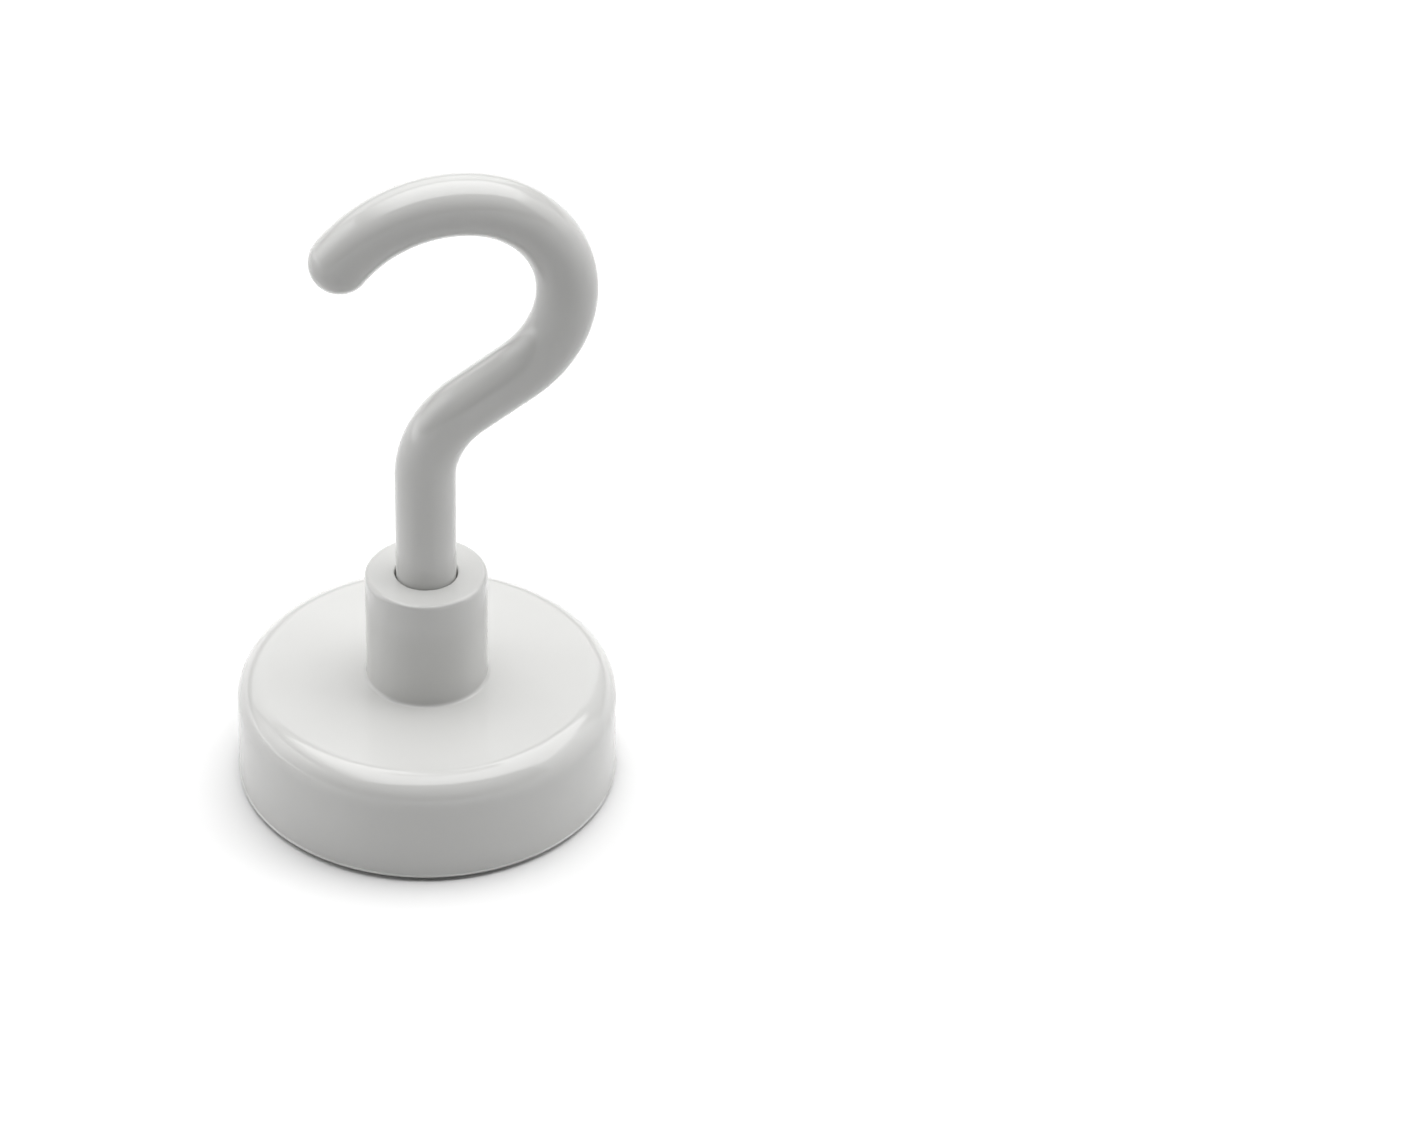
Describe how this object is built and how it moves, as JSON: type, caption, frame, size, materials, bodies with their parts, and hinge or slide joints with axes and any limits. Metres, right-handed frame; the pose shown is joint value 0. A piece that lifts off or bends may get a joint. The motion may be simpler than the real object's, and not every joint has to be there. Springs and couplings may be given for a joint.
{
  "type": "magnetic hook",
  "caption": "Round pot magnet with a threaded boss and a screw-in question-mark hook, for hanging light things on steel.",
  "frame": {"origin": "centre of the magnet face, on the plane that the part stands on or sticks to", "axes": "+Z from the magnet face along the boss and the hook's shank; the hook is bent in the XZ plane, its bow towards +X and its tip towards -X"},
  "size_m": [0.025, 0.025, 0.0452],
  "materials": {
    "white_paint": "gloss powder coat on steel",
    "black_pad": "matt, fine leather grain",
    "black_resin": "gloss cast resin",
    "nickel_plate": "bright nickel plate on a sintered magnet",
    "clear_glue": "cured adhesive",
    "adhesive_film": "double-sided film"
  },
  "bodies": {
    "base": {"pot_shell": "white_paint", "threaded_boss": "white_paint", "magnet_disc": "nickel_plate", "magnet_glue": "clear_glue", "resin_ring": "black_resin", "face_pad": "black_pad", "pad_adhesive": "adhesive_film"},
    "hook": {"threaded_hook": "white_paint"}
  },
  "joints": [
    {"name": "hook_turn", "type": "hinge", "parent": "base", "child": "hook", "pos_m": [0, 0, 0.01557], "axis": [0, 0, 1], "range_deg": [-180, 180]}
  ]
}
